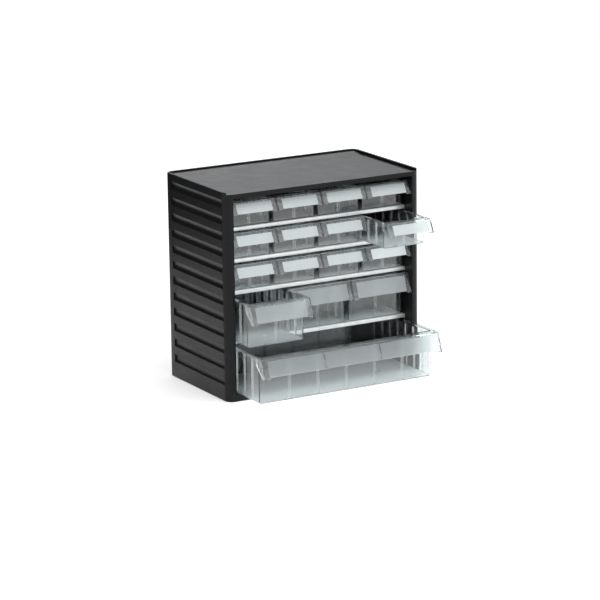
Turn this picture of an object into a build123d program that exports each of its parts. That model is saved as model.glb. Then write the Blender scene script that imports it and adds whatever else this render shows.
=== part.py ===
from build123d import *
from dataclasses import dataclass
import os

# Parts bin cabinet: a ribbed moulded shell, a rear panel, four hemmed metal shelves and sixteen clear
# drawers in five rows. Millimetres. The origin is the middle of the underside, +Z is up and the open
# front faces -Y. Three drawers stand partly open, as a cabinet in use does.

# Room inside the shell, and the rows of drawers from the bottom up
bay_width = 280.0
shell_depth = 176.0
large_pitch = 72.0
medium_pitch = 68.0
small_pitch = 44.0
small_rows = 3
large_columns = 1
medium_columns = 3
small_columns = 4

# How far a cut, or a block that joins another, runs past the face that it goes through
overrun = 1.0

# Shell
side_wall = 13.0
floor_wall = 9.0
roof_wall = 9.0
upright_radius = 12.0
ground_edge_bevel = 1.2
bay_corner_radius = 1.5

# Tray moulded into the top: a rim on three sides, a ramp at the back and a bead along the front
rim_height = 4.0
rim_width = 4.0
rim_edge_bevel = 0.9
ramp_depth = 24.0
ramp_rise = 2.0
bead_width = 2.4
bead_height = 1.2

# Ribs on both sides
rib_count = 12
rib_height = 11.5
rib_rise = 2.0
rib_root = 1.0
rib_front_margin = 10.0
rib_back_margin = 20.0
rib_foot_margin = 23.0
rib_top_margin = 10.0

# Rear panel, seated in a rebate behind the shelves
panel_thickness = 3.0
rebate_width = 4.0
panel_gap = 0.2
panel_rib_width = 6.0
panel_rib_height = 1.0
panel_rib_count = 5

# Shelves: thin sheet with a folded front edge, let into grooves in the side walls
shelf_setback = 20.0
shelf_sheet = 1.0
shelf_let_in = 3.0
shelf_gap = 0.1
hem_height = 5.4
hem_thickness = 2.4
hem_fold_radius = 1.0
hem_slot = 0.3
hem_end_gap = 0.2

# Drawers, all kinds
lip_setback = 0.5
lip_gap = 0.6
glide_gap = 0.3
headroom = 1.5
rear_gap = 1.0
drawer_floor = 1.6
plan_radius = 4.0
plan_bevel = 2.4
inner_bevel = 1.6
foot_bevel = 1.5
lip_top_reach = 11.5
lip_foot_reach = 20.5
lip_thickness = 2.2
field_depth = 0.8
field_drop = 3.0
field_bar = 2.0
lip_ear = 2.0
cheek_thickness = 1.2
cheek_foot = 4.0
cheek_hold = 9.0
rim_plate = 1.4

# Drawers, one kind at a time
small_wall = 1.3
medium_wall = 1.5
large_wall = 1.8
small_flange = 2.2
medium_flange = 3.0
large_flange = 4.5
small_lip_drop = 18.0
medium_lip_drop = 26.0
large_lip_drop = 26.0
narrow_field_margin = 7.3
large_field_margin = 9.5
large_fields = 3
large_cross_slots = 5

# Divider slots: pairs of small ribs inside the drawer walls
slot_count = 6
slot_gap = 1.8
slot_rib = 1.0
slot_stand = 1.1
slot_root = 0.4
slot_top_margin = 4.0

# Stops that catch the hem of the shelf above
stop_thickness = 2.0
stop_width = 14.0
stop_margin = 8.0
stop_gap = 0.7

# How far the three open drawers are drawn out
small_drawn = 58.0
medium_drawn = 50.0
large_drawn = 78.0


@dataclass(frozen=True)
class Kind:
    """The sizes that differ between the three kinds of drawer."""

    name: str
    columns: int
    pitch: float
    wall: float
    flange: float
    lip_drop: float
    field_margin: float
    fields: int
    cross_slots: int
    rounded: bool


small = Kind("small", small_columns, small_pitch, small_wall, small_flange, small_lip_drop,
             narrow_field_margin, fields=1, cross_slots=1, rounded=False)
medium = Kind("medium", medium_columns, medium_pitch, medium_wall, medium_flange, medium_lip_drop,
              narrow_field_margin, fields=1, cross_slots=1, rounded=True)
large = Kind("large", large_columns, large_pitch, large_wall, large_flange, large_lip_drop,
             large_field_margin, large_fields, large_cross_slots, rounded=True)

# Worked out from the sizes above
shell_width = bay_width + 2 * side_wall
rows = [large, medium] + [small] * small_rows
levels = [floor_wall]
for row_kind in rows:
    levels.append(levels[-1] + row_kind.pitch)
roof_underside = levels[-1]
shell_height = roof_underside + roof_wall
front_y = -shell_depth / 2
back_y = shell_depth / 2
panel_face_y = back_y - panel_thickness
shelf_front_y = front_y + shelf_setback
hem_back_y = shelf_front_y + hem_thickness
drawer_front_y = front_y + lip_setback + lip_foot_reach
drawer_length = panel_face_y - rear_gap - drawer_front_y


def block(x0, x1, y0, y1, z0, z1):
    """A box between two opposite corners."""
    box = Box(x1 - x0, y1 - y0, z1 - z0)
    return Pos((x0 + x1) / 2, (y0 + y1) / 2, (z0 + z1) / 2) * box


def across(points, width, middle=0.0):
    """A prism along X, from an outline of (y, z) points."""
    face = make_face(Plane.YZ * Polyline(*points, close=True))
    return Pos(middle, 0, 0) * extrude(face, amount=width / 2, both=True)


def upright(width, depth, corner, z0, z1, middle_y=0.0, rounded=True):
    """A block whose vertical edges are rounded, or else bevelled."""
    if rounded:
        plan = RectangleRounded(width, depth, corner)
    else:
        plan = chamfer(Rectangle(width, depth).vertices(), corner)
    return Pos(0, middle_y, z0) * extrude(plan, z1 - z0)


def side_ribs():
    """The rounded ribs of both sides: a shallow arc with its root in the wall, run from front to back."""
    length = shell_depth - rib_front_margin - rib_back_margin
    middle_y = (rib_front_margin - rib_back_margin) / 2
    first = rib_foot_margin + rib_height / 2
    last = shell_height - rib_top_margin - rib_height / 2
    step = (last - first) / (rib_count - 1)
    foot = (0, -rib_height / 2)
    crest = (rib_rise, 0)
    head = (0, rib_height / 2)
    root = Polyline(head, (-rib_root, rib_height / 2), (-rib_root, -rib_height / 2), foot)
    outline = ThreePointArc(foot, crest, head) + root
    rib = extrude(make_face(Plane.XZ * outline), amount=length / 2, both=True)
    ribs = []
    for index in range(rib_count):
        height = first + index * step
        for side in (Rot(0, 0, 0), Rot(0, 0, 180)):
            place = Pos(0, middle_y, height) * side * Pos(shell_width / 2, 0, 0)
            ribs.append(place * rib)
    return ribs


def top_tray():
    """The room above the top panel: a tray open to the front, with a ramp up to the back rim."""
    deck = shell_height - rim_height
    above = shell_height + overrun
    back = back_y - rim_width
    front = front_y - overrun
    outline = [
        (front, deck + bead_height),
        (front_y + bead_width, deck + bead_height),
        (front_y + bead_width + bead_height, deck),
        (back - ramp_depth, deck),
        (back, deck + ramp_rise),
        (back, above),
        (front, above),
    ]
    return across(outline, shell_width - 2 * rim_width)


def cabinet_shell():
    """The moulded sleeve: sides, floor, roof and top tray, open at the front and rebated at the back."""
    shell = upright(shell_width, shell_depth, upright_radius, 0, shell_height)
    shell = chamfer(shell.edges().group_by(Axis.Z)[0], ground_edge_bevel)
    shell = chamfer(shell.edges().group_by(Axis.Z)[-1], rim_edge_bevel)
    shell += side_ribs()
    shell -= top_tray()
    half = bay_width / 2
    bay = block(-half, half, front_y - overrun, back_y + overrun, floor_wall, roof_underside)
    bay = fillet(bay.edges().filter_by(Axis.Y), bay_corner_radius)
    shell -= bay
    rebate = half + rebate_width
    shell -= block(-rebate, rebate, panel_face_y, back_y + overrun,
                   floor_wall - rebate_width, roof_underside + rebate_width)
    for level in levels[1:-1]:
        groove = half + shelf_let_in + shelf_gap
        shell -= block(-groove, groove, shelf_front_y - shelf_gap, panel_face_y + overrun,
                       level - shelf_sheet - shelf_gap, level + shelf_gap)
    stop_foot = roof_underside - hem_height
    shell += block(-half - overrun, half + overrun, shelf_front_y, hem_back_y,
                   stop_foot, roof_underside + overrun)
    return shell


def rear_panel():
    """The back of the cabinet: a flat panel in the shell's rebate, stiffened by low upright ribs."""
    half = bay_width / 2 + rebate_width - panel_gap
    foot = floor_wall - rebate_width + panel_gap
    head = roof_underside + rebate_width - panel_gap
    panel = block(-half, half, panel_face_y, back_y - panel_rib_height, foot, head)
    step = 2 * half / (panel_rib_count + 1)
    for index in range(panel_rib_count):
        middle = -half + (index + 1) * step
        panel += block(middle - panel_rib_width / 2, middle + panel_rib_width / 2,
                       panel_face_y, back_y, foot + panel_rib_width, head - panel_rib_width)
    return panel


def shelf(level):
    """A sheet shelf whose front edge is folded down and back on itself; its top face is at the level."""
    half = bay_width / 2
    let_in = half + shelf_let_in
    sheet = block(-let_in, let_in, shelf_front_y + hem_thickness / 2, panel_face_y - shelf_gap,
                  level - shelf_sheet, level)
    hem = block(-half + hem_end_gap, half - hem_end_gap, shelf_front_y, hem_back_y,
                level - hem_height, level)
    hem = fillet(hem.edges().filter_by(Axis.X), hem_fold_radius)
    slot_y = shelf_front_y + (hem_thickness - hem_slot) / 2
    slot = block(-half, half, slot_y, slot_y + hem_slot,
                 level - hem_height + hem_thickness / 2, level - shelf_sheet)
    return sheet + hem - slot


def lip_outline(height, drop):
    """The sloping plate of the lip, seen from the side."""
    top = (-lip_top_reach, height)
    foot = (-lip_foot_reach, height - drop)
    return [top, foot, (foot[0] + lip_thickness, foot[1]), (top[0] + lip_thickness, top[1])]


def lip(kind, lip_width, height):
    """The lip: a sloping plate with sunk label fields between two ears, and a cheek at each end."""
    plate = across(lip_outline(height, kind.lip_drop), lip_width)
    slope = (lip_foot_reach - lip_top_reach) / kind.lip_drop
    field_top = height - field_drop
    field_foot = height - kind.lip_drop + lip_ear
    ahead = -lip_foot_reach - overrun
    field_room = lip_width - 2 * kind.field_margin
    field_width = (field_room - (kind.fields - 1) * field_bar) / kind.fields
    sunk_top = (-lip_top_reach - slope * field_drop + field_depth, field_top)
    sunk_foot = (-lip_foot_reach + slope * lip_ear + field_depth, field_foot)
    sunk = [sunk_top, sunk_foot, (ahead, field_foot), (ahead, field_top)]
    for index in range(kind.fields):
        middle = (index - (kind.fields - 1) / 2) * (field_width + field_bar)
        plate -= across(sunk, field_width, middle)
    plate -= block(-field_room / 2, field_room / 2, ahead, 0, height - kind.lip_drop - overrun, field_foot)
    cheek_end = -lip_foot_reach + cheek_foot
    cheek_points = [
        (-lip_top_reach, height),
        (-lip_foot_reach, height - kind.lip_drop),
        (cheek_end, height - kind.lip_drop),
        (kind.wall, height - cheek_hold),
        (kind.wall, height),
    ]
    for side in (-1, 1):
        middle = side * (lip_width - cheek_thickness) / 2
        plate += across(cheek_points, cheek_thickness, middle)
    return plate


def slot_ribs(kind, inner_width, height):
    """The rib pairs that hold dividers: on both side walls, and on the front and rear walls."""
    spread = (slot_gap + slot_rib) / 2
    top = height - slot_top_margin
    foot = drawer_floor - slot_root
    half = inner_width / 2
    inner_front = kind.wall
    inner_back = drawer_length - kind.wall
    ribs = []
    side_step = (inner_back - inner_front) / (slot_count + 1)
    for index in range(slot_count):
        for offset in (-spread, spread):
            y = inner_front + (index + 1) * side_step + offset
            for x0, x1 in ((-half - slot_root, -half + slot_stand),
                           (half - slot_stand, half + slot_root)):
                ribs.append(block(x0, x1, y - slot_rib / 2, y + slot_rib / 2, foot, top))
    cross_step = inner_width / (kind.cross_slots + 1)
    for index in range(kind.cross_slots):
        for offset in (-spread, spread):
            x = -half + (index + 1) * cross_step + offset
            for y0, y1 in ((inner_front - slot_root, inner_front + slot_stand),
                           (inner_back - slot_stand, inner_back + slot_root)):
                ribs.append(block(x - slot_rib / 2, x + slot_rib / 2, y0, y1, foot, top))
    return ribs


def drawer(kind):
    """A shut drawer about x = 0: its front wall on y = 0, its underside on z = 0, its rear towards +Y."""
    height = kind.pitch - hem_height - headroom - glide_gap
    lip_width = bay_width / kind.columns - lip_gap
    width = lip_width - 2 * kind.flange
    inner_width = width - 2 * kind.wall
    inner_length = drawer_length - 2 * kind.wall
    middle_y = drawer_length / 2
    corner = plan_radius if kind.rounded else plan_bevel
    body = upright(width, drawer_length, corner, 0, height, middle_y, kind.rounded)
    body = chamfer(body.edges().group_by(Axis.Z)[0], foot_bevel)
    half = lip_width / 2
    body += block(-half, half, -lip_top_reach, drawer_length - plan_radius, height - rim_plate, height)
    body += lip(kind, lip_width, height)
    body -= upright(inner_width, inner_length, inner_bevel, drawer_floor, height + overrun,
                    middle_y, rounded=False)
    body += slot_ribs(kind, inner_width, height)
    stop_head = kind.pitch - shelf_sheet - glide_gap - stop_gap
    stop_x = width / 2 - stop_margin - stop_width / 2
    for side in (-1, 1):
        body += block(side * stop_x - stop_width / 2, side * stop_x + stop_width / 2,
                      drawer_length - stop_thickness, drawer_length, height - rim_plate, stop_head)
    return body


drawn = {
    ("large", 1, 1): large_drawn,
    ("medium", 1, 1): medium_drawn,
    ("small", small_rows - 1, small_columns): small_drawn,
}


def drawers():
    """Every drawer by name, in its place: columns count from the left, small rows from the bottom."""
    placed = {}
    shapes = {kind.name: drawer(kind) for kind in (large, medium, small)}
    row_numbers = dict.fromkeys(shapes, 0)
    for index, kind in enumerate(rows):
        row_numbers[kind.name] += 1
        row = row_numbers[kind.name]
        cell = bay_width / kind.columns
        for column in range(1, kind.columns + 1):
            x = -bay_width / 2 + (column - 0.5) * cell
            y = drawer_front_y - drawn.get((kind.name, row, column), 0.0)
            z = levels[index] + glide_gap
            node = kind.name + "_drawer"
            if kind is small:
                node += "_row_" + str(row)
            if kind.columns > 1:
                node += "_column_" + str(column)
            placed[node] = Pos(x, y, z) * shapes[kind.name]
    return placed


pieces = {"cabinet_shell": cabinet_shell(), "rear_panel": rear_panel()}
for number, shelf_level in enumerate(levels[1:-1], start=1):
    pieces["shelf_" + str(number)] = shelf(shelf_level)
pieces.update(drawers())

os.makedirs("parts", exist_ok=True)
for node, piece in pieces.items():
    export_step(piece, os.path.join("parts", node + ".step"))
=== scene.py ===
"""The looks of a parts bin cabinet: a fluted dark shell, folded metal shelves and clear drawers.

Everything is in metres, in the cabinet's own frame: +Z is up, the open front faces -Y and +X is to the
right.
"""
import logging
import math
from collections.abc import Iterator
from contextlib import contextmanager
from dataclasses import dataclass, field
from enum import Enum

import bmesh
import bpy
import numpy as np
from mathutils import Matrix, Vector


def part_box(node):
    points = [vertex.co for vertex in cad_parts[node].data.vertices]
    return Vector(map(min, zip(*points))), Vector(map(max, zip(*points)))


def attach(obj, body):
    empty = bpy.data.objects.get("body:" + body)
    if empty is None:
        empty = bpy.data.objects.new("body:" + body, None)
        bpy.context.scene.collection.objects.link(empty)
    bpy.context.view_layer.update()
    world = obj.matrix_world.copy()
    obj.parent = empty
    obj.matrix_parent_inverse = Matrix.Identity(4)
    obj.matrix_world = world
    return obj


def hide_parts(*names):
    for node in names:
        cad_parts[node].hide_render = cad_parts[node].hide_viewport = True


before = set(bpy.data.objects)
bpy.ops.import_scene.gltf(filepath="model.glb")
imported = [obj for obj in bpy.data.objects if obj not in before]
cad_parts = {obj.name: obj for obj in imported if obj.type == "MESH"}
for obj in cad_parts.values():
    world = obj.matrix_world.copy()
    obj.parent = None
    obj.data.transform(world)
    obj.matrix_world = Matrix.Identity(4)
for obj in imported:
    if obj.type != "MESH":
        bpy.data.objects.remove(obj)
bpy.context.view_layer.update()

log = logging.getLogger("parts_cabinet")

MM = 0.001
WELD_DISTANCE = 0.002 * MM
SLIVER_LENGTH = 0.001 * MM
FLAT_ANGLE = math.radians(0.4)
SHARP_ANGLE = math.radians(32)
MATT_ROUGHNESS = 0.9
WHITE = (1.0, 1.0, 1.0, 1.0)
Colour = tuple[float, float, float]
Point = tuple[float, float, float]


class Slot(Enum):
    """The record's material slots."""

    SHELL = "shell"
    PANEL = "panel"
    SHELF = "shelf_metal"
    DRAWER = "clear_plastic"


class Row(Enum):
    """The three kinds of drawer, by the start of their nodes' names."""

    LARGE = "large_drawer"
    MEDIUM = "medium_drawer"
    SMALL = "small_drawer"


# ---------------------------------------------------------------- finishes


class Shader:
    """A material's node tree with short names for the few nodes that the finishes use."""

    def __init__(self, name: str) -> None:
        """Makes an empty material with a Principled BSDF.

        Args:
            name: the material's name.
        """
        self.material = bpy.data.materials.new(name)
        self.material.use_nodes = True
        self.tree = self.material.node_tree
        self.surface = self.tree.nodes["Principled BSDF"]
        self.position = self.tree.nodes.new("ShaderNodeTexCoord").outputs["Object"]

    def set(self, **values: object) -> None:
        """Sets constants on the Principled BSDF, with underscores for the spaces in a socket's name."""
        for key, value in values.items():
            self.surface.inputs[key.replace("_", " ")].default_value = value

    def link(self, start: bpy.types.NodeSocket, end: bpy.types.NodeSocket) -> None:
        """Joins an output to an input."""
        self.tree.links.new(start, end)

    def stretched(self, scale: Point) -> bpy.types.NodeSocket:
        """Object coordinates multiplied per axis, which stretches a pattern along the smaller factors.

        Args:
            scale: the factor for each axis.

        Returns:
            The stretched coordinates.
        """
        node = self.tree.nodes.new("ShaderNodeMapping")
        node.inputs["Scale"].default_value = scale
        self.link(self.position, node.inputs["Vector"])
        return node.outputs["Vector"]

    def noise(self, scale: float, detail: float = 2.0, roughness: float = 0.5,
              vector: bpy.types.NodeSocket | None = None) -> bpy.types.NodeSocket:
        """A noise field.

        Args:
            scale: cycles per metre.
            detail: octaves.
            roughness: share that each finer octave keeps.
            vector: the coordinates, or None for plain Object coordinates.

        Returns:
            The noise value, about 0 to 1.
        """
        node = self.tree.nodes.new("ShaderNodeTexNoise")
        node.inputs["Scale"].default_value = scale
        node.inputs["Detail"].default_value = detail
        node.inputs["Roughness"].default_value = roughness
        self.link(vector or self.position, node.inputs["Vector"])
        return node.outputs["Fac"]

    def between(self, value: bpy.types.NodeSocket, low: float, high: float,
                start: float = 0.3, end: float = 0.7) -> bpy.types.NodeSocket:
        """A value spread over a new range.

        Args:
            value: the value to spread.
            low: the result where value is start.
            high: the result where value is end.
            start: the lower end of the old range.
            end: the upper end of the old range.

        Returns:
            The spread value.
        """
        node = self.tree.nodes.new("ShaderNodeMapRange")
        for key, number in (("From Min", start), ("From Max", end), ("To Min", low), ("To Max", high)):
            node.inputs[key].default_value = number
        self.link(value, node.inputs["Value"])
        return node.outputs["Result"]

    def shades(self, value: bpy.types.NodeSocket, dark: Colour, light: Colour,
               start: float = 0.3, end: float = 0.7) -> bpy.types.NodeSocket:
        """A colour that runs from dark to light with a value.

        Args:
            value: what chooses the colour.
            dark: the colour at start.
            light: the colour at end.
            start: where the dark colour ends.
            end: where the light colour begins.

        Returns:
            The colour.
        """
        node = self.tree.nodes.new("ShaderNodeValToRGB")
        node.color_ramp.elements[0].position = start
        node.color_ramp.elements[0].color = (*dark, 1.0)
        node.color_ramp.elements[1].position = end
        node.color_ramp.elements[1].color = (*light, 1.0)
        self.link(value, node.inputs["Fac"])
        return node.outputs["Color"]

    def bump(self, height: bpy.types.NodeSocket, depth: float,
             under: bpy.types.NodeSocket | None = None) -> bpy.types.NodeSocket:
        """A relief.

        Args:
            height: the relief, 0 to 1.
            depth: how deep it is, in metres.
            under: a coarser relief below this one, or None.

        Returns:
            The bent normal.
        """
        node = self.tree.nodes.new("ShaderNodeBump")
        node.inputs["Distance"].default_value = depth
        node.inputs["Strength"].default_value = 1.0
        self.link(height, node.inputs["Height"])
        if under is not None:
            self.link(under, node.inputs["Normal"])
        return node.outputs["Normal"]


@dataclass(frozen=True)
class GrainedPlastic:
    """Dark moulded plastic with a cast grain, a little cloudiness and rubbed patches."""

    name: str
    dark: Colour
    light: Colour
    roughness: float = 0.34
    roughness_spread: float = 0.10
    gloss: float = 0.18
    grain_scale: float = 1900.0
    grain_depth: float = 0.00005
    pebble_scale: float = 420.0
    pebble_depth: float = 0.00022
    cloud_scale: float = 38.0
    refraction: float = 1.5

    def material(self) -> bpy.types.Material:
        """Builds the material.

        Returns:
            The finished material.
        """
        shader = Shader(self.name)
        cloud = shader.noise(self.cloud_scale, detail=4.0, roughness=0.6)
        speck = shader.noise(self.pebble_scale, detail=3.0, roughness=0.6)
        shader.link(shader.shades(speck, self.dark, self.light), shader.surface.inputs["Base Color"])
        half = self.roughness_spread / 2
        rough = shader.between(cloud, self.roughness - half, self.roughness + half)
        shader.link(rough, shader.surface.inputs["Roughness"])
        coarse = shader.bump(speck, self.pebble_depth)
        fine = shader.bump(shader.noise(self.grain_scale), self.grain_depth, under=coarse)
        shader.link(fine, shader.surface.inputs["Normal"])
        shader.set(IOR=self.refraction, Specular_IOR_Level=self.gloss)
        return shader.material


@dataclass(frozen=True)
class ZincSheet:
    """Bright zinc-coated sheet: cool grey metal with rolling streaks along the sheet and soft clouding."""

    name: str
    dark: Colour = (0.80, 0.82, 0.82)
    light: Colour = (0.90, 0.92, 0.91)
    streak: Point = (3.0, 260.0, 260.0)
    streak_depth: float = 0.000004
    cloud_scale: float = 90.0
    smooth: float = 0.30
    dull: float = 0.44
    metal: float = 0.7

    def material(self) -> bpy.types.Material:
        """Builds the material.

        Returns:
            The finished material.
        """
        shader = Shader(self.name)
        streaks = shader.noise(1.0, detail=3.0, roughness=0.6, vector=shader.stretched(self.streak))
        cloud = shader.noise(self.cloud_scale, detail=3.0)
        shader.link(shader.shades(cloud, self.dark, self.light), shader.surface.inputs["Base Color"])
        shader.link(shader.between(streaks, self.smooth, self.dull), shader.surface.inputs["Roughness"])
        shader.link(shader.bump(streaks, self.streak_depth), shader.surface.inputs["Normal"])
        shader.set(Metallic=self.metal)
        return shader.material


@dataclass(frozen=True)
class ClearPlastic:
    """Clear moulded plastic: see-through and faintly cool, with a share of milkiness and handling haze."""

    name: str
    colour: Colour = (0.94, 0.98, 0.985)
    clear: float = 0.98
    smooth: float = 0.0
    hazed: float = 0.04
    haze_scale: float = 60.0
    refraction: float = 1.57

    def material(self) -> bpy.types.Material:
        """Builds the material.

        Returns:
            The finished material.
        """
        shader = Shader(self.name)
        shader.set(Base_Color=(*self.colour, 1.0), Transmission_Weight=self.clear, IOR=self.refraction)
        haze = shader.noise(self.haze_scale, detail=4.0, roughness=0.6)
        shader.link(shader.between(haze, self.smooth, self.hazed), shader.surface.inputs["Roughness"])
        return shader.material


# ---------------------------------------------------------------- meshes


def new_piece(name: str, mesh: bpy.types.Mesh, slot: Slot, body: str, *replaced: str) -> bpy.types.Object:
    """Puts a mesh in the scene as a piece of the cabinet.

    Args:
        name: the piece's name.
        mesh: its mesh, already in its place.
        slot: the record's material slot, which is not used.
        body: the body that it rides on.
        replaced: the solids that it stands for.

    Returns:
        The piece.
    """
    piece = bpy.data.objects.new(name, mesh)
    bpy.context.scene.collection.objects.link(piece)
    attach(piece, body)
    if replaced:
        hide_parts(*replaced)
    log.info("%s: %d faces, rides on %s", name, len(mesh.polygons), body)
    return piece


@contextmanager
def reworked(mesh: bpy.types.Mesh) -> Iterator[bmesh.types.BMesh]:
    """Opens a mesh for editing, then writes it back shaded smooth but for its sharp edges.

    Args:
        mesh: the mesh.

    Yields:
        The mesh in its editable form.
    """
    work = bmesh.new()
    work.from_mesh(mesh)
    yield work
    work.to_mesh(mesh)
    work.free()
    mesh.shade_smooth()
    mesh.set_sharp_from_angle(angle=SHARP_ANGLE)


def join_faces(mesh: bpy.types.Mesh) -> None:
    """Merges a mesh's doubles and joins its flat triangles into whole faces.

    Args:
        mesh: the mesh.
    """
    with reworked(mesh) as work:
        bmesh.ops.remove_doubles(work, verts=work.verts, dist=WELD_DISTANCE)
        bmesh.ops.dissolve_degenerate(work, edges=work.edges, dist=SLIVER_LENGTH)
        bmesh.ops.dissolve_limit(work, angle_limit=FLAT_ANGLE, verts=work.verts, edges=work.edges)


def split_concave(mesh: bpy.types.Mesh) -> None:
    """Splits each flat face that runs round a corner, such as one round a rib's foot, into convex faces.

    Left whole, such a face is shaded with a dark wedge once its edges are rounded.

    Args:
        mesh: the mesh.
    """
    with reworked(mesh) as work:
        bmesh.ops.connect_verts_concave(work, faces=work.faces)


def welded_copy(node: str, name: str) -> bpy.types.Mesh:
    """A solid's mesh with its doubles merged and its flat triangles joined into whole faces.

    Args:
        node: the solid's node.
        name: the new mesh's name.

    Returns:
        The welded mesh, shaded smooth but for its sharp edges.
    """
    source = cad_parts[node].data
    points = np.empty(len(source.vertices) * 3, np.float32)
    source.vertices.foreach_get("co", points)
    corners = np.empty(len(source.loops), np.int32)
    source.loops.foreach_get("vertex_index", corners)
    mesh = bpy.data.meshes.new(name)
    mesh.from_pydata(points.reshape(-1, 3), [], corners.reshape(-1, 3))
    join_faces(mesh)
    return mesh


def carved(mesh: bpy.types.Mesh, cutter: bpy.types.Mesh) -> bpy.types.Mesh:
    """A closed mesh with another closed one cut out of it.

    Args:
        mesh: what is cut.
        cutter: what is taken away.

    Returns:
        The cut mesh.
    """
    block = bpy.data.objects.new("block", mesh)
    tool = bpy.data.objects.new("tool", cutter)
    for item in (block, tool):
        bpy.context.scene.collection.objects.link(item)
    cut = block.modifiers.new("cut", "BOOLEAN")
    cut.operation = "DIFFERENCE"
    cut.solver = "EXACT"
    cut.object = tool
    scene_state = bpy.context.evaluated_depsgraph_get()
    result = bpy.data.meshes.new_from_object(block.evaluated_get(scene_state))
    for item in (block, tool):
        bpy.data.objects.remove(item)
    join_faces(result)
    return result


def soften(piece: bpy.types.Object, radius: float, segments: int = 2) -> None:
    """Rounds a piece's sharp edges.

    Args:
        piece: the piece.
        radius: how far the rounding reaches from each edge, in metres.
        segments: faces across it.
    """
    bevel = piece.modifiers.new("edge", "BEVEL")
    bevel.limit_method = "ANGLE"
    bevel.angle_limit = SHARP_ANGLE
    bevel.width = radius
    bevel.segments = segments
    bevel.miter_outer = "MITER_ARC"
    bevel.harden_normals = True
    bevel.use_clamp_overlap = True


def swept_profile(name: str, outline: np.ndarray, start: float, end: float,
                  along: int = 0) -> bpy.types.Mesh:
    """A closed outline carried straight along an axis, with an end face at each end.

    Point (i, j) is outline point i with the start (j = 0) or the end (j = 1) put in as its coordinate on
    that axis.

    Args:
        name: the mesh's name.
        outline: the points in order round the outline, as their coordinates on the other two axes.
        start: where it begins.
        end: where it ends.
        along: the axis, 0 for X or 1 for Y.

    Returns:
        The mesh, shaded smooth but for its sharp edges.
    """
    count = len(outline)
    ends = [np.insert(outline, along, place, axis=1) for place in (start, end)]
    here = np.arange(count)
    after = (here + 1) % count
    sides = np.column_stack([here, after, after + count, here + count])
    mesh = bpy.data.meshes.new(name)
    faces = sides.tolist() + [here[::-1].tolist(), (here + count).tolist()]
    mesh.from_pydata(np.vstack(ends), [], faces)
    with reworked(mesh) as work:
        bmesh.ops.recalc_face_normals(work, faces=work.faces)
    return mesh


def arc(centre: tuple[float, float], radius: float, start: float, end: float, steps: int) -> np.ndarray:
    """Points on a circle: centre plus radius times (cos, sin) of an angle that runs evenly.

    Args:
        centre: the circle's centre, as its coordinates on the outline's two axes.
        radius: its radius.
        start: the first angle, in degrees.
        end: the last angle, in degrees.
        steps: spans between points.

    Returns:
        The points, one row each.
    """
    angle = np.radians(np.linspace(start, end, steps + 1))
    return np.column_stack([centre[0] + radius * np.cos(angle), centre[1] + radius * np.sin(angle)])


# ---------------------------------------------------------------- the cabinet


@dataclass
class Flutes:
    """The flutes of both sides: shallow arcs sunk into the wall, run from front to back, with flat ends.

    The solid shell has raised ribs in their place, of the same height and spacing. Cutting a flute takes
    its rib away, because the cutter starts far enough outside the wall.
    """

    count: int = 12
    height: float = 11.5 * MM
    depth: float = 2.0 * MM
    rib_rise: float = 2.0 * MM
    front_margin: float = 10.0 * MM
    back_margin: float = 20.0 * MM
    foot_margin: float = 23.0 * MM
    top_margin: float = 10.0 * MM
    outreach: float = 6.0 * MM
    overlap: float = 0.01 * MM
    steps: int = 12

    def outline(self) -> np.ndarray:
        """One flute from the front: an arc sunk into the wall, closed by a mouth outside it.

        The arc passes through both edges of the flute and its deepest point, so its radius is half the
        height squared plus the depth squared, over twice the depth.

        Returns:
            The points, as how far out of the wall and how far above the flute's middle they are.
        """
        half = self.height / 2 + self.overlap
        radius = (half ** 2 + self.depth ** 2) / (2 * self.depth)
        spread = math.degrees(math.asin(half / radius))
        curve = arc((radius - self.depth, 0.0), radius, 180 + spread, 180 - spread, self.steps)
        return np.vstack([curve, [(self.outreach, half), (self.outreach, -half)]])

    def cutter(self) -> bpy.types.Mesh:
        """What the flutes of both sides take away from the shell.

        Returns:
            One closed block for each flute, all in one mesh.
        """
        low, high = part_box("cabinet_shell")
        wall = high.x - self.rib_rise
        first = low.z + self.foot_margin + self.height / 2
        last = high.z - self.top_margin - self.height / 2
        front = low.y + self.front_margin - self.overlap
        back = high.y - self.back_margin + self.overlap
        blocks = bmesh.new()
        for side in (-1.0, 1.0):
            for middle in np.linspace(first, last, self.count):
                outline = (self.outline() + (wall, middle)) * (side, 1.0)
                block = swept_profile("flute", outline, front, back, along=1)
                blocks.from_mesh(block)
                bpy.data.meshes.remove(block)
        mesh = bpy.data.meshes.new("flutes")
        blocks.to_mesh(mesh)
        blocks.free()
        return mesh


@dataclass
class Cabinet:
    """The shell and the panel that closes its back."""

    edge: float = 0.45 * MM
    panel_edge: float = 0.3 * MM
    flutes: Flutes = field(default_factory=Flutes)

    def build(self) -> list[bpy.types.Object]:
        """Dresses the shell and the rear panel.

        Returns:
            The two pieces.
        """
        grained = GrainedPlastic("charcoal_shell", dark=(0.006, 0.0062, 0.0068),
                                 light=(0.012, 0.0125, 0.0135))
        plain = GrainedPlastic("charcoal_panel", dark=(0.007, 0.0072, 0.008),
                               light=(0.013, 0.0135, 0.0145), roughness=0.42)
        shell_mesh = carved(welded_copy("cabinet_shell", "shell_block"), self.flutes.cutter())
        shell = new_piece("cabinet_shell_skin", shell_mesh, Slot.SHELL, "cabinet", "cabinet_shell")
        shell_mesh.materials.clear()
        shell_mesh.materials.append(grained.material())
        soften(shell, self.edge)
        panel_mesh = welded_copy("rear_panel", "rear_panel_skin")
        split_concave(panel_mesh)
        panel = new_piece("rear_panel_skin", panel_mesh, Slot.PANEL, "cabinet", "rear_panel")
        panel_mesh.materials.append(plain.material())
        soften(panel, self.panel_edge)
        return [shell, panel]


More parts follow.
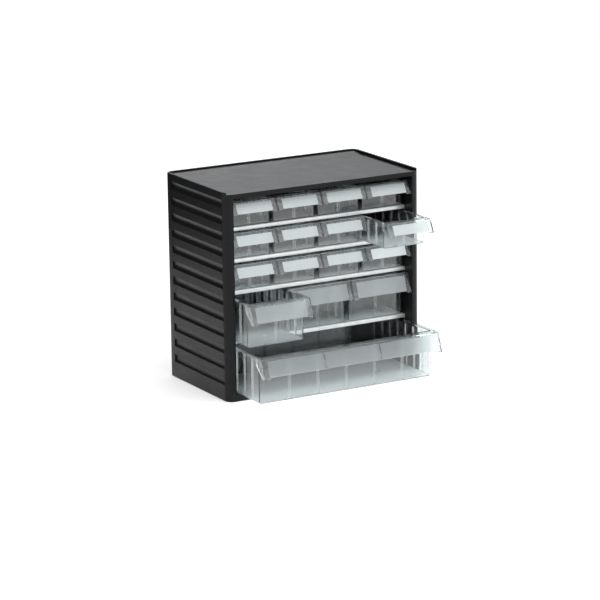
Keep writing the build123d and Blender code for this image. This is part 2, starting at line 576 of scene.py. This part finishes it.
@dataclass
class FoldedShelf:
    """A sheet shelf whose front edge is folded down and back on itself."""

    node: str
    sheet: float = 1.0 * MM
    fold_thickness: float = 2.4 * MM
    fold_corner: float = 0.3 * MM
    end_gap: float = 3.2 * MM
    steps: int = 8

    def outline(self) -> np.ndarray:
        """The shelf from the side: a flat sheet, a half-round bend down, and the fold's rounded foot.

        Returns:
            The (y, z) points in order.
        """
        low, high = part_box(self.node)
        front, back = low.y, high.y
        top, foot = high.z, low.z
        bend = self.fold_thickness / 2
        inner = front + self.fold_thickness
        under = top - self.sheet
        return np.vstack([
            [(back, top)],
            arc((front + bend, top - bend), bend, 90, 180, self.steps),
            arc((front + bend, foot + bend), bend, 180, 360, self.steps),
            [(inner, under - self.fold_corner), (inner + self.fold_corner, under)],
            [(back, under)],
        ])

    def build(self, finish: bpy.types.Material) -> bpy.types.Object:
        """Makes the shelf.

        Args:
            finish: its material.

        Returns:
            The piece.
        """
        low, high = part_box(self.node)
        name = self.node + "_sheet"
        mesh = swept_profile(name, self.outline(), low.x + self.end_gap, high.x - self.end_gap)
        piece = new_piece(name, mesh, Slot.SHELF, "cabinet", self.node)
        piece.data.materials.append(finish)
        return piece


@dataclass(frozen=True)
class DrawerFinish:
    """The three materials of a drawer: its clear walls, its frosted label fields and its scuffed floor."""

    clear: bpy.types.Material
    frosted: bpy.types.Material
    floor: bpy.types.Material


@dataclass
class Drawer:
    """A clear drawer: a moulded tub with a hooded lip, frosted label fields and a scuffed floor."""

    node: str
    edge: float = 0.3 * MM
    field_from: float = 0.3 * MM
    field_to: float = 1.4 * MM
    field_forward: float = 0.8
    field_upward: float = 0.2
    floor_to: float = 4.0 * MM
    floor_upward: float = 0.99

    @staticmethod
    def face_values(mesh: bpy.types.Mesh, name: str) -> np.ndarray:
        """One vector of each face.

        Args:
            mesh: the mesh.
            name: which vector, "normal" or "center".

        Returns:
            The vectors, one row each.
        """
        values = np.empty(len(mesh.polygons) * 3)
        mesh.polygons.foreach_get(name, values)
        return values.reshape(-1, 3)

    def floor_faces(self, mesh: bpy.types.Mesh) -> np.ndarray:
        """Which faces are the floor inside: those that look straight up near the drawer's lowest point.

        Args:
            mesh: the drawer's mesh.

        Returns:
            One truth value for each face.
        """
        normals, centres = self.face_values(mesh, "normal"), self.face_values(mesh, "center")
        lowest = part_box(self.node)[0].z
        return (normals[:, 2] > self.floor_upward) & (centres[:, 2] < lowest + self.floor_to)

    def frosted_faces(self, mesh: bpy.types.Mesh) -> np.ndarray:
        """Which faces are label fields: those that slope like the lip's front and lie just behind it.

        A face's depth is how far its plane lies behind the foremost plane with the same slope.

        Args:
            mesh: the drawer's mesh.

        Returns:
            One truth value for each face.
        """
        normals, centres = self.face_values(mesh, "normal"), self.face_values(mesh, "center")
        sloping = (normals[:, 1] < -self.field_forward) & (normals[:, 2] > self.field_upward)
        slope = normals[sloping].mean(axis=0)
        reach = centres @ (slope / np.linalg.norm(slope))
        depth = reach[sloping].max() - reach
        return sloping & (depth > self.field_from) & (depth < self.field_to)

    def build(self, finish: DrawerFinish) -> bpy.types.Object:
        """Makes the drawer.

        Args:
            finish: its three materials.

        Returns:
            The piece.
        """
        name = self.node + "_moulding"
        mesh = welded_copy(self.node, name)
        piece = new_piece(name, mesh, Slot.DRAWER, self.node, self.node)
        materials = (finish.clear, finish.frosted, finish.floor)
        for material in materials:
            mesh.materials.append(material)
        index = np.full(len(mesh.polygons), materials.index(finish.clear), np.int32)
        index[self.floor_faces(mesh)] = materials.index(finish.floor)
        index[self.frosted_faces(mesh)] = materials.index(finish.frosted)
        mesh.polygons.foreach_set("material_index", index)
        soften(piece, self.edge)
        # Clear plastic lets the lamps' light through, so a drawer casts no solid shadow.
        piece.visible_shadow = False
        return piece


def drawer_finishes() -> dict[Row, DrawerFinish]:
    """The finishes of each kind of drawer: the larger the drawer, the clearer its walls and label fields.

    Returns:
        The three materials of each kind.
    """
    floor = ClearPlastic("scuffed_floor", (0.88, 0.94, 0.95), clear=0.72, smooth=0.25, hazed=0.50).material()
    walls = {
        Row.SMALL: ClearPlastic("small_drawer_clear", clear=0.98),
        Row.MEDIUM: ClearPlastic("medium_drawer_clear", clear=0.985),
        Row.LARGE: ClearPlastic("large_drawer_clear", clear=0.996),
    }
    frosted = {
        Row.SMALL: ClearPlastic("small_field", (0.80, 0.87, 0.88), clear=0.30, smooth=0.42, hazed=0.52),
        Row.MEDIUM: ClearPlastic("medium_field", (0.84, 0.91, 0.92), clear=0.70, smooth=0.34, hazed=0.44),
        Row.LARGE: ClearPlastic("large_field", (0.84, 0.91, 0.92), clear=0.82, smooth=0.34, hazed=0.44),
    }
    return {row: DrawerFinish(walls[row].material(), frosted[row].material(), floor) for row in Row}


# ---------------------------------------------------------------- the studio


@dataclass(frozen=True)
class Viewpoint:
    """Where the camera stands, as angles and a distance from the middle of the cabinet."""

    azimuth: float = -29.52
    elevation: float = 13.99
    roll: float = -0.75
    distance: float = 4.195
    middle_height: float = 0.145
    aside: float = 9.2 * MM
    raised: float = -38.6 * MM
    focal_pixels: float = 3016.0
    picture: float = 600.0
    sensor: float = 36.0
    nearest: float = 0.1
    farthest: float = 60.0

    def place(self) -> bpy.types.Object:
        """Makes the camera and sets it as the scene's.

        Returns:
            The camera.
        """
        turn, rise, lean = (math.radians(a) for a in (self.azimuth, self.elevation, self.roll))
        back = Vector((math.sin(turn) * math.cos(rise), -math.cos(turn) * math.cos(rise), math.sin(rise)))
        right = Vector((math.cos(turn), math.sin(turn), 0.0))
        up = back.cross(right)
        across = right * math.cos(lean) + up * math.sin(lean)
        over = up * math.cos(lean) - right * math.sin(lean)
        spot = Vector((0, 0, self.middle_height)) + back * self.distance
        spot += across * self.aside + over * self.raised
        data = bpy.data.cameras.new("camera")
        data.sensor_width = self.sensor
        data.lens = self.focal_pixels * self.sensor / self.picture
        data.clip_start = self.nearest
        data.clip_end = self.farthest
        camera = bpy.data.objects.new("camera", data)
        camera.matrix_world = Matrix.Translation(spot) @ Matrix((across, over, back)).transposed().to_4x4()
        bpy.context.scene.collection.objects.link(camera)
        bpy.context.scene.camera = camera
        return camera


@dataclass(frozen=True)
class Softbox:
    """A flat soft light that faces the cabinet, placed by angles in degrees and a distance."""

    name: str
    azimuth: float
    elevation: float
    distance: float
    width: float
    height: float
    brightness: float

    def place(self, target: Vector) -> bpy.types.Object:
        """Makes the light. Its power is its brightness times pi times its area.

        Args:
            target: the point that it faces.

        Returns:
            The light.
        """
        turn, rise = math.radians(self.azimuth), math.radians(self.elevation)
        away = Vector((math.sin(turn) * math.cos(rise), -math.cos(turn) * math.cos(rise), math.sin(rise)))
        data = bpy.data.lights.new(self.name, "AREA")
        data.shape = "RECTANGLE"
        data.size = self.width
        data.size_y = self.height
        data.energy = self.brightness * math.pi * self.width * self.height
        light = bpy.data.objects.new(self.name, data)
        light.location = target + away * self.distance
        light.rotation_euler = away.to_track_quat("Z", "Y").to_euler()
        bpy.context.scene.collection.objects.link(light)
        return light


@dataclass(frozen=True)
class Flag:
    """A dark card that stands outside the picture and only shows in reflections, to give them contrast."""

    name: str
    azimuth: float
    distance: float
    width: float
    height: float
    colour: Colour = (0.02, 0.02, 0.02)

    def place(self, target: Vector) -> bpy.types.Object:
        """Makes the card, upright and facing the target.

        Args:
            target: the point on the floor that it faces.

        Returns:
            The card.
        """
        turn = math.radians(self.azimuth)
        away = Vector((math.sin(turn), -math.cos(turn), 0.0))
        aside = Vector((math.cos(turn), math.sin(turn), 0.0)) * self.width / 2
        foot = target + away * self.distance
        head = foot + Vector((0.0, 0.0, self.height))
        mesh = bpy.data.meshes.new(self.name)
        mesh.from_pydata([foot - aside, foot + aside, head + aside, head - aside], [], [(0, 1, 2, 3)])
        shader = Shader(self.name)
        shader.set(Base_Color=(*self.colour, 1.0), Roughness=MATT_ROUGHNESS, Specular_IOR_Level=0.0)
        mesh.materials.append(shader.material)
        card = bpy.data.objects.new(self.name, mesh)
        bpy.context.scene.collection.objects.link(card)
        card.visible_camera = False
        card.visible_diffuse = False
        card.visible_transmission = False
        card.visible_shadow = False
        return card


@dataclass(frozen=True)
class Studio:
    """A pale floor, a pale surround and plain soft light."""

    floor_size: float = 30.0
    floor_drop: float = 0.2 * MM
    floor_colour: float = 0.80
    floor_clouding: float = 0.01
    floor_cloud_scale: float = 3.0
    floor_lift: float = 0.42
    ambient: float = 0.70
    lit_height: float = 0.15
    flagged_x: float = -0.1
    boxes: tuple[Softbox, ...] = (
        Softbox("overhead_softbox", azimuth=20.0, elevation=68.0, distance=2.2,
                width=1.6, height=1.4, brightness=3.2),
        Softbox("rear_softbox", azimuth=150.0, elevation=30.0, distance=2.4,
                width=1.4, height=0.7, brightness=2.8),
    )
    flags: tuple[Flag, ...] = (
        Flag("side_flag", azimuth=-150.0, distance=0.75, width=1.2, height=1.0),
        Flag("low_rear_flag", azimuth=152.0, distance=0.9, width=1.5, height=0.56,
             colour=(0.02, 0.09, 0.11)),
    )

    @staticmethod
    def seen_ray(tree: bpy.types.NodeTree) -> bpy.types.NodeSocket:
        """Adds the test that is 1 for a ray from the camera, a reflection or a transmission.

        Args:
            tree: the node tree to add it to.

        Returns:
            The test's value.
        """
        path = tree.nodes.new("ShaderNodeLightPath")
        value = path.outputs["Is Camera Ray"]
        for other in ("Is Glossy Ray", "Is Transmission Ray"):
            most = tree.nodes.new("ShaderNodeMath")
            most.operation = "MAXIMUM"
            tree.links.new(value, most.inputs[0])
            tree.links.new(path.outputs[other], most.inputs[1])
            value = most.outputs[0]
        return value

    def floor_material(self) -> bpy.types.Material:
        """The floor's material: plain matt white, lifted to paper white where it is looked at.

        Returns:
            The material.
        """
        shader = Shader("pale_floor")
        cloud = shader.noise(self.floor_cloud_scale, detail=3.0)
        dark = (self.floor_colour - self.floor_clouding,) * 3
        light = (self.floor_colour,) * 3
        shader.link(shader.shades(cloud, dark, light), shader.surface.inputs["Base Color"])
        shader.set(Roughness=MATT_ROUGHNESS, Specular_IOR_Level=0.0, Emission_Color=WHITE)
        lift = shader.tree.nodes.new("ShaderNodeMath")
        lift.operation = "MULTIPLY"
        lift.inputs[1].default_value = self.floor_lift
        shader.link(self.seen_ray(shader.tree), lift.inputs[0])
        shader.link(lift.outputs[0], shader.surface.inputs["Emission Strength"])
        return shader.material

    def surround(self) -> None:
        """The world: white where it is looked at, and a softer level as light."""
        world = bpy.data.worlds.new("pale_surround")
        world.use_nodes = True
        bpy.context.scene.world = world
        tree = world.node_tree
        background = tree.nodes["Background"]
        background.inputs["Color"].default_value = WHITE
        mix = tree.nodes.new("ShaderNodeMapRange")
        mix.inputs["To Min"].default_value = self.ambient
        mix.inputs["To Max"].default_value = 1.0
        tree.links.new(self.seen_ray(tree), mix.inputs["Value"])
        tree.links.new(mix.outputs["Result"], background.inputs["Strength"])

    def build(self) -> None:
        """Makes the floor, the surround, the lights and the cards."""
        half = self.floor_size / 2
        mesh = bpy.data.meshes.new("floor")
        corners = [(-half, -half, 0.0), (half, -half, 0.0), (half, half, 0.0), (-half, half, 0.0)]
        mesh.from_pydata(corners, [], [(0, 1, 2, 3)])
        floor = bpy.data.objects.new("floor", mesh)
        floor.location.z = -self.floor_drop
        mesh.materials.append(self.floor_material())
        bpy.context.scene.collection.objects.link(floor)
        self.surround()
        for box in self.boxes:
            box.place(Vector((0.0, 0.0, self.lit_height)))
        for flag in self.flags:
            flag.place(Vector((self.flagged_x, 0.0, 0.0)))


def main() -> None:
    """Builds the camera, the studio and every piece of the cabinet."""
    logging.basicConfig(level=logging.INFO, format="%(message)s")
    scene = bpy.context.scene
    scene.view_settings.view_transform = "Standard"
    Viewpoint().place()
    Studio().build()
    Cabinet().build()
    zinc = ZincSheet("zinc_sheet").material()
    for node in sorted(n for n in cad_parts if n.startswith("shelf_")):
        FoldedShelf(node).build(zinc)
    finishes = drawer_finishes()
    for row in Row:
        for node in sorted(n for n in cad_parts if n.startswith(row.value)):
            Drawer(node).build(finishes[row])


if __name__ == "__main__":
    main()
